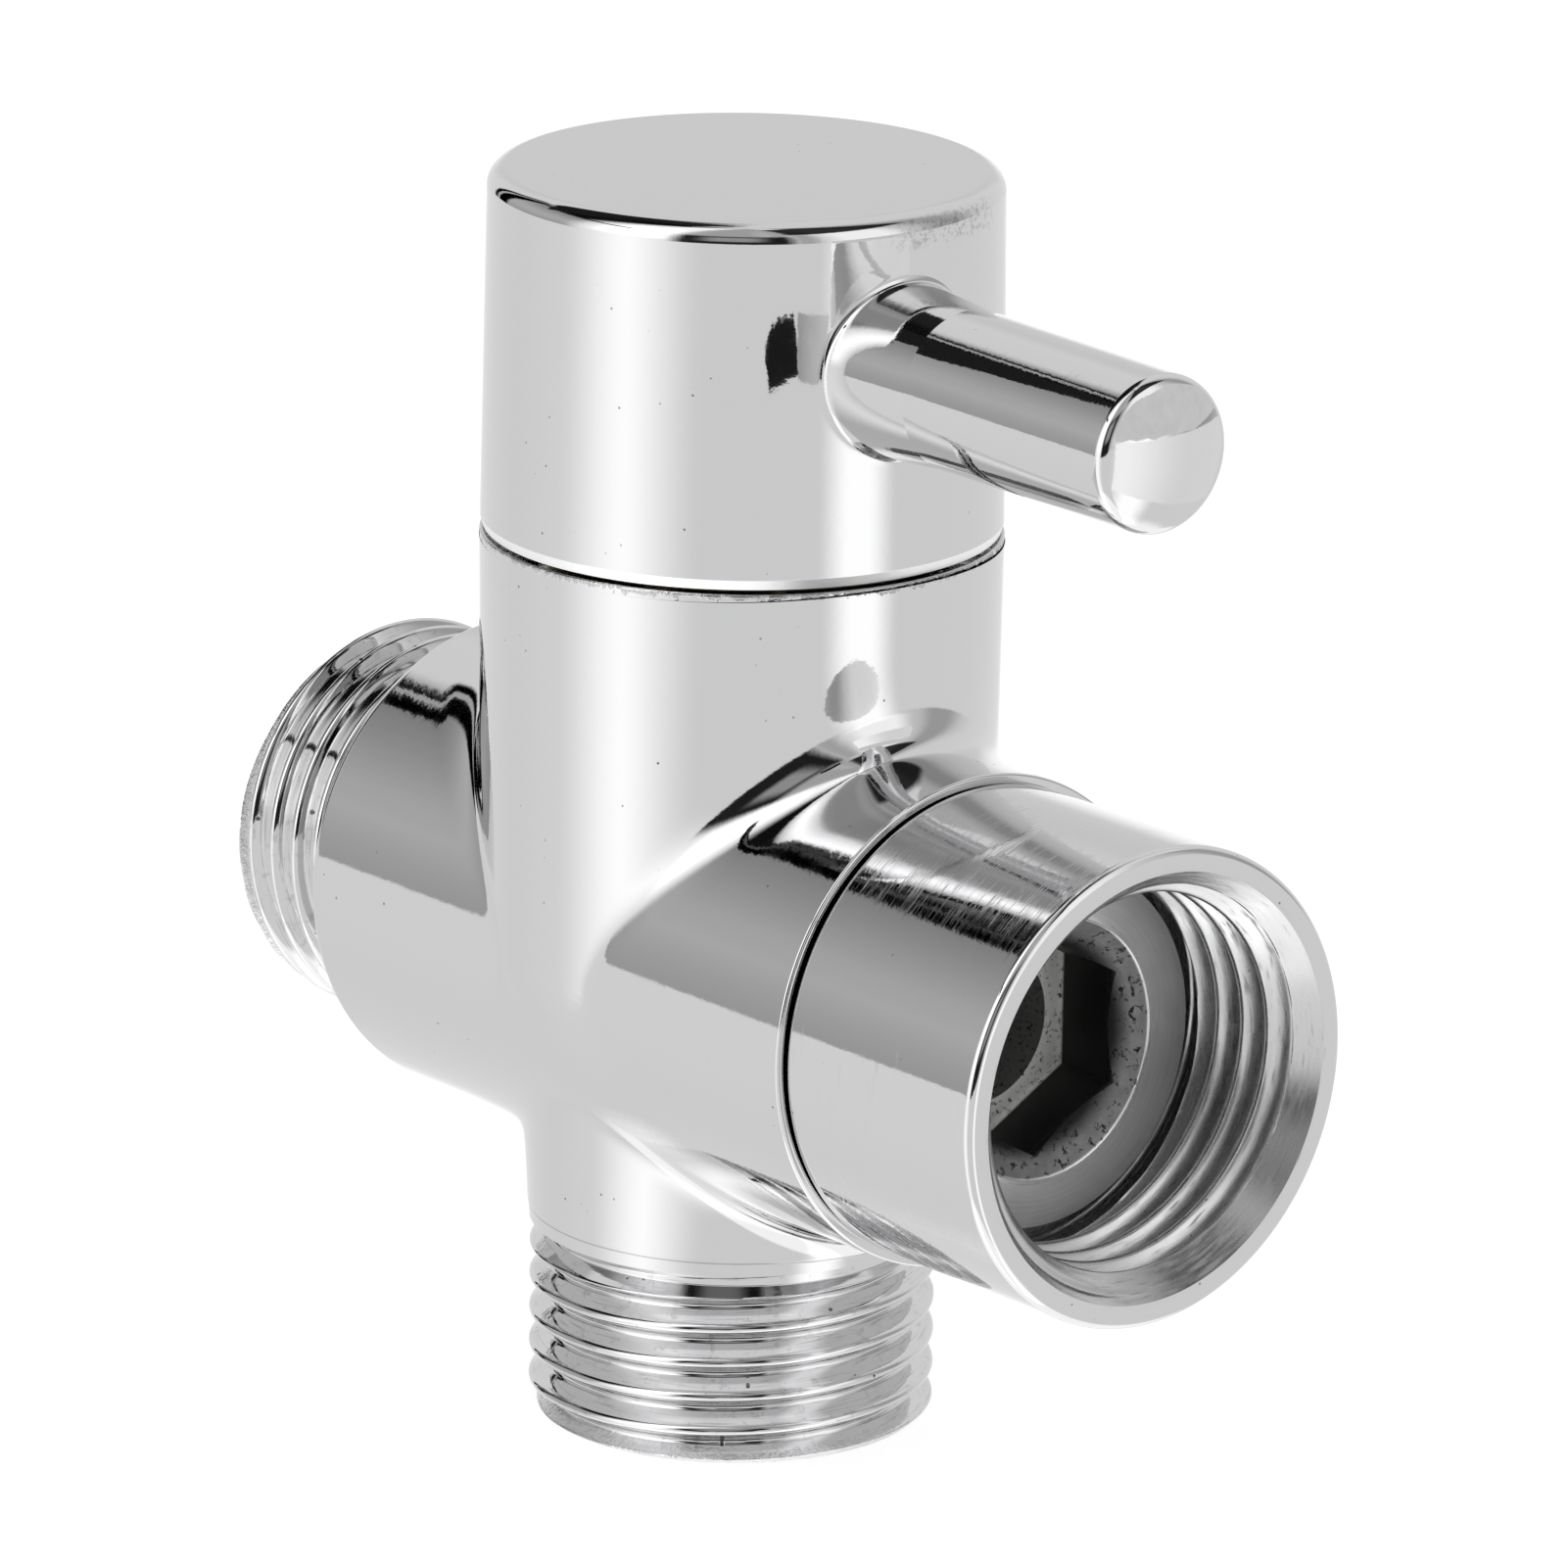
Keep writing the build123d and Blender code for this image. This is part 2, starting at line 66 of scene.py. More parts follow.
# Knob, and its lever from root to tip; the rest angle is in degrees
KNOB_FOOT, KNOB_TOP, KNOB_RADIUS, KNOB_DRAFT, KNOB_WALL = 46.6, 64.9, 13.2, 0.25, 1.7
KNOB_CHAMFER, CHAMFER_TOP, KNOB_EDGE, SCREW_HOLE, REST_ANGLE = 0.15, 47.1, 1.0, 2.05, -2.6
LEVER_LEVEL, LEVER_RADIUS, TIP_RADIUS, TIP_START, TIP_EDGE, CROWN = 57.15, 4.05, 3.95, 33.0, 0.7, 0.89
ROOT_START, ROOT_END, ROOT_RADIUS, ROOT_FILLET = 11.25, 18.0, 4.5, 0.35

# Nipple in the nut: its countersink, the hexagon socket in it and the water's bore
SINK_RADIUS, SINK_START, SOCKET_REACH, SOCKET_FLOOR, WATER_BORE = 6.6, 22.7, 6.0, 19.4, 4.0

CHROME = (0.66, 0.66, 0.665, 1)
EVERY_HEIGHT = (-120, 120)


def grey(level):
    """A grey colour."""
    return (level, level, level, 1)


# Shader arithmetic

class Signal:
    """An output socket that reads like a number: each operator adds the Math node that works it out."""

    def __init__(self, recipe, socket):
        self.recipe, self.socket = recipe, socket

    def __add__(self, other):
        return self.recipe.math("ADD", self, other)

    def __sub__(self, other):
        return self.recipe.math("SUBTRACT", self, other)

    def __rsub__(self, other):
        return self.recipe.math("SUBTRACT", other, self)

    def __mul__(self, other):
        return self.recipe.math("MULTIPLY", self, other)

    def __pow__(self, other):
        return self.recipe.math("POWER", self, other)

    __radd__ = __add__
    __rmul__ = __mul__


class Recipe:
    """The nodes of one material or world, made one at a time from their type, settings and sockets."""

    def __init__(self, owner):
        owner.use_nodes = True
        self.tree = owner.node_tree
        self.tree.nodes.clear()

    def node(self, kind, settings=None, sockets=None, out=0):
        """Makes a node: its settings first, then the values or links of its sockets; returns one output."""
        made = self.tree.nodes.new(kind)
        for name, value in (settings or {}).items():
            if name == "stops":
                self.set_stops(made.color_ramp, value)
            else:
                setattr(made, name, value)
        for key, value in (sockets or {}).items():
            socket = made.inputs[key]
            if isinstance(value, Signal):
                self.tree.links.new(value.socket, socket)
            else:
                socket.default_value = value
        return Signal(self, made.outputs[out]) if len(made.outputs) else made

    @staticmethod
    def set_stops(ramp, stops):
        """Gives a colour ramp its positions and colours."""
        while len(ramp.elements) < len(stops):
            ramp.elements.new(1.0)
        for element, (position, colour) in zip(ramp.elements, stops):
            element.position, element.color = position, colour

    def math(self, operation, *values):
        """One number from others, by the Math node's operation."""
        return self.node("ShaderNodeMath", {"operation": operation}, dict(enumerate(values)))

    def split(self, vector):
        """The X, Y and Z of a vector."""
        return [self.node("ShaderNodeSeparateXYZ", None, {0: vector}, axis) for axis in range(3)]

    def combine(self, *values):
        """A vector from its X, Y and Z."""
        return self.node("ShaderNodeCombineXYZ", None, dict(enumerate(values)))

    def step(self, value, start, end):
        """0 before start, 1 after end, smooth between them; start may lie after end."""
        settings = {"interpolation_type": "SMOOTHSTEP"}
        low, high, first, last = (start, end, 0.0, 1.0) if start < end else (end, start, 1.0, 0.0)
        sockets = {"Value": value, "From Min": low, "From Max": high, "To Min": first, "To Max": last}
        return self.node("ShaderNodeMapRange", settings, sockets)

    def band(self, value, start, full, fade, end):
        """0 before start, 1 from full to fade, 0 after end, smooth between them."""
        return self.step(value, start, full) * self.step(value, end, fade)

    def blend(self, share, first, second):
        """Colour that goes from the first to the second as the share goes from 0 to 1."""
        sockets = {0: share, 6: first, 7: second}
        return self.node("ShaderNodeMix", {"data_type": "RGBA", "clamp_factor": True}, sockets, 2)

    def place(self):
        """Position on the object, in millimetres."""
        sockets = {0: self.node("ShaderNodeTexCoord", out=3), 1: (1 / MM, 1 / MM, 1 / MM)}
        return self.node("ShaderNodeVectorMath", {"operation": "MULTIPLY"}, sockets)

    def around(self, place, axis):
        """Height along the flow axis or the knob's axis, radius about it, and angle in radians."""
        x, y, z = self.split(place)
        height, aside = (x, z - FLOW) if axis == "flow" else (z, x)
        return height, (aside * aside + y * y) ** 0.5, self.math("ARCTAN2", aside, y * -1)

    def noise(self, place, scale, detail=2.0, roughness=0.5):
        """Smooth noise about 0.5; scale is how many waves go to a unit of the place."""
        sockets = {"Vector": place, "Scale": scale, "Detail": detail, "Roughness": roughness}
        return self.node("ShaderNodeTexNoise", None, sockets)

    def streaks(self, around, fine, long):
        """Fine lines that run round an axis: fine is lines per millimetre, long is breaks per radian."""
        height, radius, angle = around
        return self.noise(self.combine(height * fine, radius * fine, angle * long), 1.0)

    def cells(self, place, scale):
        """Distance to the nearest of many scattered points, in cells."""
        return self.node("ShaderNodeTexVoronoi", None, {"Vector": place, "Scale": scale})

    def bump(self, height):
        """Normal of the skin raised by a height in millimetres."""
        return self.node("ShaderNodeBump", None, {"Height": height, "Distance": MM})

    def lit(self, sockets):
        """The surface of a material, from the sockets of its shader."""
        self.output(self.node("ShaderNodeBsdfPrincipled", None, sockets))

    def output(self, surface, kind="ShaderNodeOutputMaterial"):
        """Ends a material, or a world, with its surface."""
        self.node(kind, None, {0: surface})

    def ray_kinds(self):
        """1 for a ray from the camera, from a glossy surface and through glass, else 0."""
        return [self.node("ShaderNodeLightPath", out=index) for index in (0, 3, 6)]


# Shapes, in millimetres

def join(first, second, alike, radius):
    """Union of two distances with its crease rounded: the smaller one, less a cubic bump where they are
    nearly equal. alike is the cosine between their slopes, and the bump fades as the surfaces run the same
    way."""
    half_turn = np.sqrt(np.clip((1 + alike) / 2, 0, 1))
    width = np.maximum(6 * radius * (1 - half_turn), 1e-4)
    near = np.clip(1 - np.abs(first - second) / width, 0, 1)
    return np.minimum(first, second) - near**3 * width / 6


def column_radius(z):
    """The column widens evenly from the flow axis to its top."""
    return COLUMN_RADIUS + COLUMN_DRAFT * (z - FLOW) / (COLUMN_TOP - FLOW)


def neck_radius(z):
    """The neck widens evenly from its foot to the flow axis."""
    return NECK_RADIUS + NECK_DRAFT * (z - NECK_FOOT) / (FLOW - NECK_FOOT)


def knob_radius(z):
    """The knob narrows evenly from its foot to its top."""
    return KNOB_RADIUS - KNOB_DRAFT * (z - CHAMFER_TOP) / (KNOB_TOP - CHAMFER_TOP)


def casting_distance(points):
    """Height over the casting's skin: distances to the barrel, the neck and the column, joined. Below the
    flow axis the column ends in a quarter round, whose distance is that of a ring less its thickness."""
    x, y, z = np.moveaxis(points, -1, 0)
    rise = z - FLOW
    flow_reach, knob_reach = np.hypot(y, rise), np.maximum(np.hypot(x, y), 1e-6)
    barrel, neck = flow_reach - BARREL_RADIUS, knob_reach - neck_radius(z)
    foot_reach = np.maximum(knob_reach - (COLUMN_RADIUS - COLUMN_FOOT), 0)
    foot = np.hypot(foot_reach, rise)
    column = np.where(rise > 0, knob_reach - column_radius(z), foot - COLUMN_FOOT)
    alike = y * y / (flow_reach * knob_reach)
    foot_alike = (alike * foot_reach - rise * rise / flow_reach) / np.maximum(foot, 1e-6)
    column_alike = np.where(rise > 0, alike, foot_alike)
    return join(join(barrel, neck, alike, NECK_FILLET), column, column_alike, CROSSING_FILLET)


def knob_distance(points):
    """Height over the knob's skin: distances to its wall and to the lever's tapered root, joined. Behind the
    axis, where no lever is, its distance is kept far too large to count."""
    x, y, z = np.moveaxis(points, -1, 0)
    wall_reach, lever_reach = np.maximum(np.hypot(x, y), 1e-6), np.hypot(y, z - LEVER_LEVEL)
    wall = wall_reach - knob_radius(z)
    share = (x - ROOT_START) / (ROOT_END - ROOT_START)
    root = ROOT_RADIUS + (LEVER_RADIUS - ROOT_RADIUS) * share
    lever = np.where(x > 0, lever_reach - root, lever_reach + 50)
    alike = y * y / (wall_reach * np.maximum(lever_reach, 1e-6))
    return join(wall, lever, alike, ROOT_FILLET)


def slopes(distance, points, step=0.01):
    """Outward normals: the distance's differences along X, Y and Z, made one long."""
    shifts = np.eye(3) * step
    normals = np.stack([distance(points + shift) - distance(points - shift) for shift in shifts], -1)
    return normals / np.linalg.norm(normals, axis=-1, keepdims=True)


def leg_angle(turn, width):
    """Angles round a leg, for a leg that is wider than high by the given share."""
    return np.arctan2(np.sin(turn), np.cos(turn) * width)


def crossing(distance, centre, spread, starts, rows, turn):
    """Skin of two crossed bars, as four leg grids seen from the centre. Each ray's angle from its leg runs
    from the leg's start ring to the plane shared with the next leg, and the ray is cut in halves until it
    meets the skin. The legs are +X, -X, +Z, -Z. A spread below 1 gives the legs on Z the larger share of the
    view. Each start is a radius, a distance along the leg, and the power by which rows crowd towards the
    ring."""
    nearest, farthest, halvings = 4.0, 60.0, 44
    grids = []
    for leg, (radius, reach, crowd) in enumerate(starts):
        along, sign = (0, 2)[leg // 2], (1, -1)[leg % 2]
        width = spread**0.5 if along == 0 else spread**-0.5
        angle = leg_angle(turn, width)
        last = np.arctan2(width * width, np.abs(np.cos(angle)))
        first = np.arctan2(radius, reach)
        lean = first + (last - first) * np.linspace(0, 1, rows)[:, None] ** crowd
        ray = np.zeros((rows, len(turn), 3))
        ray[..., along] = sign * np.cos(lean)
        ray[..., 1] = np.sin(lean) * np.sin(angle)
        ray[..., 2 - along] = np.sin(lean) * np.cos(angle)
        low, high = np.full(ray.shape[:2], nearest), np.full(ray.shape[:2], farthest)
        for _ in range(halvings):
            middle = (low + high) / 2
            outside = distance(centre + ray * middle[..., None]) > 0
            low, high = np.where(outside, low, middle), np.where(outside, middle, high)
        points = centre + ray * low[..., None]
        grids.append((points, slopes(distance, points)))
    return grids


def outline(*corners):
    """Points and normals along a path of corners, with the skin's outside on the path's right. A corner is a
    radius, a height and, where it is round, its rounding, which is drawn as nine points of an arc. A sharp
    corner stands twice, once for each side."""
    spots = [np.array(corner[:2], float) for corner in corners]
    points, normals = [], []
    for index, corner in enumerate(corners):
        sides = []
        for start, end in ((index - 1, index), (index, index + 1)):
            if start >= 0 and end < len(corners):
                along = (spots[end] - spots[start]) / np.linalg.norm(spots[end] - spots[start])
                sides.append((along, np.array([along[1], -along[0]])))
        if len(corner) == 3 and len(sides) == 2:
            (before, first), (after, _) = sides
            rounding, turn = corner[2], np.arccos(np.clip(before @ after, -1, 1))
            sign = np.sign(before[0] * after[1] - before[1] * after[0])
            middle = spots[index] - before * rounding * np.tan(turn / 2) - sign * first * rounding
            for angle in sign * turn * np.linspace(0, 1, 9):
                facing = first * np.cos(angle) + np.array([-first[1], first[0]]) * np.sin(angle)
                points.append(middle + sign * facing * rounding)
                normals.append(facing)
        else:
            for _, facing in sides:
                points.append(spots[index])
                normals.append(facing)
    return np.array(points), np.array(normals)


def arc(centre, radius, first, last, count):
    """Points and normals on a circle's arc between two angles from the axis."""
    angle = np.linspace(first, last, count)
    normals = np.stack([np.sin(angle), np.cos(angle)], -1)
    return np.array(centre) + radius * normals, normals


def turned(path, turn):
    """Skin turned about Z: each point of the path goes round a circle, its normal with it."""
    def spin(flat):
        reach, height = flat[:, :1], flat[:, 1:]
        return np.stack([reach * np.cos(turn), reach * np.sin(turn), height + 0 * turn], -1)

    points, normals = path
    return spin(points), spin(normals)


def round_skin(radius, heights, turn, inward=False):
    """Skin whose radius is a function of the angle and the height. Its normal follows from that radius's two
    slopes, found as differences."""
    angle, height = np.meshgrid(turn, heights)
    reach, step = radius(angle, height), 1e-4
    round_slope = (radius(angle + step, height) - radius(angle - step, height)) / (2 * step * reach)
    rise_slope = (radius(angle, height + step) - radius(angle, height - step)) / (2 * step)
    out = np.stack([np.cos(angle), np.sin(angle), 0 * angle], -1)
    side = np.stack([-np.sin(angle), np.cos(angle), 0 * angle], -1)
    up = np.array([0.0, 0.0, 1.0])
    normals = out - round_slope[..., None] * side - rise_slope[..., None] * up
    normals /= np.linalg.norm(normals, axis=-1, keepdims=True)
    return out * reach[..., None] + up * height[..., None], -normals if inward else normals


def softly(pick, first, second, width=0.12):
    """The larger (pick 1) or the smaller (pick -1) of two values, with the change between them rounded by a
    square bump."""
    near = np.clip(1 - np.abs(first - second) / width, 0, 1)
    return (first + second) / 2 + pick * (np.abs(first - second) / 2 + near**2 * width / 4)


def ridge(angle, height, start):
    """Height of a right-hand 55 degree thread about its middle: a triangle wave along the helix, its tips and
    roots rounded off."""
    phase = height / PITCH - angle / (2 * pi) - start
    wave = SHARP_HALF * (1 - 4 * np.abs(phase - np.round(phase)))
    return wave / (1 + np.abs(wave / RIDGE_HALF) ** 5) ** 0.2


def male_radius(length, start):
    """Radius of a male thread over its height from its end face: the smaller of its ridge, the lead's cone at
    its end and the run-out's cone, which starts from the relief."""
    def radius(angle, height):
        form = np.minimum(CREST - RIDGE_HALF + ridge(angle, height, start), CREST)
        form = softly(-1, form, LEAD_START + height)
        return softly(-1, form, RELIEF + RUN_OUT_SLOPE * np.maximum(length - RUN_OUT - height, 0))
    return radius


def nut_radius(angle, height):
    """Radius of the nut's inside: the larger of its ridge, the mouth's cone and the relief's cone."""
    form = np.maximum(NUT_CREST + RIDGE_HALF - ridge(angle, height, NUT_THREAD_START), NUT_CREST)
    form = softly(1, form, MOUTH - MOUTH_SLOPE * (NUT_END - height))
    return softly(1, form, NUT_RELIEF - NUT_RELIEF_SLOPE * np.maximum(height - NUT_RELIEF_END, 0))


def along_x(grids, level, sign=1):
    """Turns grids from Z to a level line along X, without mirroring them: their tops go to +X, or to -X for
    the sign -1."""
    def lay(values, rise):
        a, b, c = np.moveaxis(values, -1, 0)
        return np.stack([c, a, b + rise] if sign > 0 else [-c, b, a + rise], -1)

    return [(lay(points, level), lay(normals, 0)) for points, normals in grids]


def at_rest(values):
    """Points or normals turned about Z from the lever along X to where it rests."""
    cosine, sine = cos(radians(REST_ANGLE)), sin(radians(REST_ANGLE))
    return values @ np.array([[cosine, sine, 0], [-sine, cosine, 0], [0, 0, 1]])


def even(columns):
    """Angles all round, evenly spaced from the first axis."""
    return np.linspace(0, 2 * pi, columns, endpoint=False)


def triangles(points, normals):
    """Corner points and corner normals of a grid's triangles. The grid closes round its columns. Triangles
    with no area are dropped, and the rest are wound to agree with their normals."""
    rows, columns = points.shape[:2]
    index = np.arange(rows * columns).reshape(rows, columns)
    a, b = index[:-1], np.roll(index[:-1], -1, 1)
    d, c = index[1:], np.roll(index[1:], -1, 1)
    faces = np.concatenate([np.stack(three, -1).reshape(-1, 3) for three in ((a, b, c), (a, c, d))])
    corners, facing = points.reshape(-1, 3)[faces], normals.reshape(-1, 3)[faces]
    across = np.cross(corners[:, 1] - corners[:, 0], corners[:, 2] - corners[:, 0])
    real = np.linalg.norm(across, axis=1) > 1e-9
    corners, facing, across = corners[real], facing[real], across[real]
    if (across * facing.mean(1)).sum() < 0:
        corners, facing = corners[:, ::-1], facing[:, ::-1]
    return corners, facing


def cad_triangles(node, keep):
    """Corner points and normals of the CAD triangles whose middle passes the test."""
    mesh = NODES[node].data
    mesh.calc_loop_triangles()
    vertices = np.zeros(len(mesh.vertices) * 3, np.float32)
    mesh.vertices.foreach_get("co", vertices)
    normals = np.zeros(len(mesh.loops) * 3, np.float32)
    mesh.corner_normals.foreach_get("vector", normals)
    faces, loops = (np.zeros(len(mesh.loop_triangles) * 3, np.int32) for _ in range(2))
    mesh.loop_triangles.foreach_get("vertices", faces)
    mesh.loop_triangles.foreach_get("loops", loops)
    corners = vertices.reshape(-1, 3)[faces.reshape(-1, 3)].astype(float) / MM
    wanted = keep(*corners.mean(1).T)
    return corners[wanted], normals.reshape(-1, 3)[loops.reshape(-1, 3)][wanted].astype(float)


def piece(name, grids, body, stands_for, extra=()):
    """One mesh from grids and loose triangles. Points nearer than a ten-thousandth of a millimetre are
    welded, and each corner keeps its own normal."""
    parts = [triangles(*grid) for grid in grids] + list(extra)
    corners = np.concatenate([part[0] for part in parts]).reshape(-1, 3)
    normals = np.concatenate([part[1] for part in parts]).reshape(-1, 3)
    _, first, faces = np.unique(np.round(corners * 1e4), axis=0, return_index=True, return_inverse=True)
    faces = faces.reshape(-1, 3)
    real = (faces[:, 0] != faces[:, 1]) & (faces[:, 1] != faces[:, 2]) & (faces[:, 2] != faces[:, 0])
    faces, normals = faces[real], normals.reshape(-1, 3, 3)[real]
    mesh = bpy.data.meshes.new(name)
    mesh.vertices.add(len(first))
    mesh.vertices.foreach_set("co", (corners[first] * MM).ravel())
    mesh.loops.add(faces.size)
    mesh.loops.foreach_set("vertex_index", faces.ravel())
    mesh.polygons.add(len(faces))
    mesh.polygons.foreach_set("loop_start", np.arange(0, faces.size, 3))
    mesh.update(calc_edges=True)
    mesh.shade_smooth()
    mesh.normals_split_custom_set(normals.reshape(-1, 3).tolist())
    made = bpy.data.objects.new(name, mesh)
    bpy.context.scene.collection.objects.link(made)
    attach(made, body)
    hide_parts(stands_for)
    return made


# Pieces

def casting():
    """The body's polished skin, its rims, and the bores and chamber inside it. The crossing's grids reach to
    a ring near each end, and a turned rim closes each end from there."""
    turn = even(192)
    inlet_ring, head_ring, top_ring = INLET_END - 0.4, HEAD_END - 1.0, COLUMN_TOP - 0.5
    starts = [
        (BARREL_RADIUS, inlet_ring, 1),
        (BARREL_RADIUS, head_ring, 1),
        (column_radius(top_ring), top_ring - FLOW, 1),
        (NECK_RADIUS, FLOW - NECK_FOOT, 1),
    ]
    grids = crossing(casting_distance, np.array([0, 0, FLOW]), 1.0, starts, 56, turn)
    thread_bottom = RELIEF - 0.1
    inlet = outline(
        (BARREL_RADIUS, inlet_ring),
        (BARREL_RADIUS, INLET_END, INLET_EDGE),
        (INLET_BORE, INLET_END),
    )
    head = outline(
        (BARREL_RADIUS, head_ring),
        (BARREL_RADIUS, HEAD_END, HEAD_EDGE),
        (thread_bottom, HEAD_END),
    )
    grids += along_x([turned(inlet, turn)], FLOW) + along_x([turned(head, turn)], FLOW, -1)
    top = outline(
        (column_radius(top_ring), top_ring),
        (column_radius(COLUMN_TOP), COLUMN_TOP, COLUMN_RIM),
        (CHAMBER_RADIUS, COLUMN_TOP),
    )
    foot = outline(
        (thread_bottom, HOSE_THREAD),
        (NECK_RADIUS - NECK_STEP, HOSE_THREAD),
        (NECK_RADIUS, NECK_FOOT),
    )
    grids += [turned(top, turn), turned(foot, turn)]

    def inside(x, y, z):
        reach, flow_reach = np.hypot(x, y), np.hypot(y, z - FLOW)
        chamber = (reach < CHAMBER_RADIUS + 0.02) & (z > CHAMBER_FLOOR) & (z < COLUMN_TOP - 0.05)
        return (reach < OUTLET_BORE + 0.02) | (flow_reach < INLET_BORE + 0.07) | chamber

    hollow = cad_triangles("valve_body", inside)
    return piece("valve_casting", grids, "housing", "valve_body", [hollow])


def male_end(length, start):
    """A male thread on Z from its end face at 0: the ridge, the relief and the face round the bore, with 30
    rows to a pitch."""
    turn, radius = even(160), male_radius(length, start)
    skin = round_skin(radius, np.linspace(0, length, int(length / PITCH * 30)), turn)
    face = outline((OUTLET_BORE, 0), (radius(0.0, 0.0), 0))
    return [skin, turned(face, turn)]


def hose_thread():
    """Thread of the hose outlet, its crests where the photograph shows them."""
    grids = male_end(HOSE_THREAD, HOSE_START)
    return piece("hose_thread", grids, "housing", "valve_body")


def head_thread():
    """Thread of the outlet to the shower head, laid along the flow axis with its end face outermost."""
    shift = np.array([0, 0, HEAD_END + HEAD_THREAD])
    grids = [(points - shift, normals) for points, normals in male_end(HEAD_THREAD, HEAD_START)]
    return piece("head_thread", along_x(grids, FLOW), "housing", "valve_body")


def swivel_nut():
    """The inlet nut: outside and rims, then the mouth, thread and relief, then the collar."""
    turn = even(192)
    outside = outline(
        (COLLAR_BORE, NUT_START),
        (NUT_RADIUS, NUT_START, COLLAR_EDGE),
        (NUT_RADIUS, NUT_END, MOUTH_EDGE),
        (MOUTH, NUT_END),
    )
    inside = round_skin(nut_radius, np.linspace(NUT_END, COLLAR_END, 190), turn, inward=True)
    collar = outline(
        (nut_radius(0.0, COLLAR_END), COLLAR_END),
        (COLLAR_BORE, COLLAR_END),
        (COLLAR_BORE, NUT_START),
    )
    grids = [turned(outside, turn), inside, turned(collar, turn)]
    return piece("inlet_nut", along_x(grids, FLOW), "nut", "swivel_nut")


def lever_path():
    """Half outline of the lever from its root: its side, the tip's rounded edge and the tip's crown, which is
    a shallow arc that meets the edge without a crease."""
    crown_radius = (TIP_RADIUS**2 + CROWN**2) / (2 * CROWN)
    crown_centre = TIP_START + CROWN - crown_radius
    lean = asin((TIP_RADIUS - TIP_EDGE) / (crown_radius - TIP_EDGE))
    edge_centre = (TIP_RADIUS - TIP_EDGE, crown_centre + (crown_radius - TIP_EDGE) * cos(lean))
    side = outline((LEVER_RADIUS, ROOT_END), (TIP_RADIUS, edge_centre[1]))
    edge = arc(edge_centre, TIP_EDGE, pi / 2, lean, 12)
    crown = arc((0, crown_centre), crown_radius, lean, 0, 20)
    return tuple(np.concatenate(rows) for rows in zip(side, edge, crown))


def knob():
    """The knob's wall with the lever's root, its top, the lever, and the cavity inside: made with the lever
    along X, then turned to where the lever rests."""
    centre, turn, spread = np.array([0, 0, LEVER_LEVEL]), even(192), 0.45
    shoulder, skirt, screw_reach = KNOB_TOP - KNOB_EDGE - 0.1, CHAMFER_TOP + 0.3, 13.0
    starts = [
        (LEVER_RADIUS, ROOT_END, 2),
        (SCREW_HOLE, screw_reach, 1),
        (knob_radius(shoulder), shoulder - LEVER_LEVEL, 1),
        (knob_radius(skirt), LEVER_LEVEL - skirt, 1),
    ]
    grids = crossing(knob_distance, centre, spread, starts, 72, turn)
    top = outline(
        (knob_radius(shoulder), shoulder),
        (knob_radius(KNOB_TOP), KNOB_TOP, KNOB_EDGE),
        (0, KNOB_TOP),
    )
    foot = outline(
        (KNOB_RADIUS - KNOB_WALL, KNOB_FOOT),
        (KNOB_RADIUS - KNOB_CHAMFER, KNOB_FOOT),
        (KNOB_RADIUS, CHAMFER_TOP),
        (knob_radius(skirt), skirt),
    )
    level_turn = leg_angle(turn, spread**-0.5)
    grids += [turned(top, level_turn), turned(foot, level_turn)]
    lever_turn = pi / 2 - leg_angle(turn, spread**0.5)
    grids += along_x([turned(lever_path(), lever_turn)], LEVER_LEVEL)
    grids = [(at_rest(points), at_rest(normals)) for points, normals in grids]

    def inside(x, y, z):
        cavity = (np.hypot(x, y) < KNOB_RADIUS - KNOB_WALL + 0.05) & (z < KNOB_TOP - 0.3)
        aside = y * cos(radians(REST_ANGLE)) - x * sin(radians(REST_ANGLE))
        return cavity | ((x < -10) & (np.hypot(aside, z - LEVER_LEVEL) < SCREW_HOLE + 0.05))

    return piece("lever_knob", grids, "handle", "knob", [cad_triangles("knob", inside)])


# Finishes

def finish(name):
    """A new material and the recipe that fills it."""
    material = bpy.data.materials.new(name)
    return material, Recipe(material)


def score(recipe, skin):
    """One turned line round the neck, over the hose thread."""
    line = recipe.step(recipe.math("ABSOLUTE", skin.height - (NECK_FOOT - 0.2)), 0.06, 0.02)
    skin.dark += line * 0.4
    skin.relief -= line * 0.005


def burr_and_seam_shade(recipe, skin):
    """Nicked, dull plating along the column's rim, under the knob, darkened there with painted shade in the
    seam.
    """
    nicks = recipe.noise(recipe.combine(skin.height * 1.5, skin.radius, skin.angle * 26), 1.0, 4.0, 0.7)
    rim = recipe.step(skin.height + nicks * 1.3, COLUMN_TOP + 0.35, COLUMN_TOP + 0.55)
    rim = rim * recipe.step(skin.radius, COLUMN_RADIUS - 0.65, COLUMN_RADIUS - 0.45)
    # Painted shade: the rim is darkened where the seam under the knob lies in shade; the nicks and duller
    # plating are real.
    skin.dark += rim * 0.3
    skin.relief += rim * nicks * 0.05
    skin.dull += rim * 0.10


def turning(recipe, skin):
    """A patch of worn lathe lines on top of the nut."""
    patch = recipe.band(skin.angle, 0.72, 0.86, 1.55, 1.75)
    patch = patch * recipe.step(skin.radius, NUT_RADIUS - 0.65, NUT_RADIUS - 0.35)
    fine = recipe.streaks((skin.height, skin.radius, skin.angle), 11.0, 5.0)
    worn = recipe.step(fine + recipe.noise(skin.place, 0.7, 3.0) * 0.6, 0.74, 1.0)
    skin.dull += patch * (worn * 0.17 + recipe.step(fine, 0.4, 0.7) * 0.03)


def inside_cut(recipe, skin):
    """The nut's inside, left as the tool cut it: duller, lined and a little darker."""
    cut = recipe.step(skin.radius, MOUTH + 0.3, MOUTH)
    skin.dark += cut * skin.deep * 0.3
    skin.dull += cut * (skin.lines * 0.24 + 0.12)
    skin.relief += cut * skin.lines * 0.006


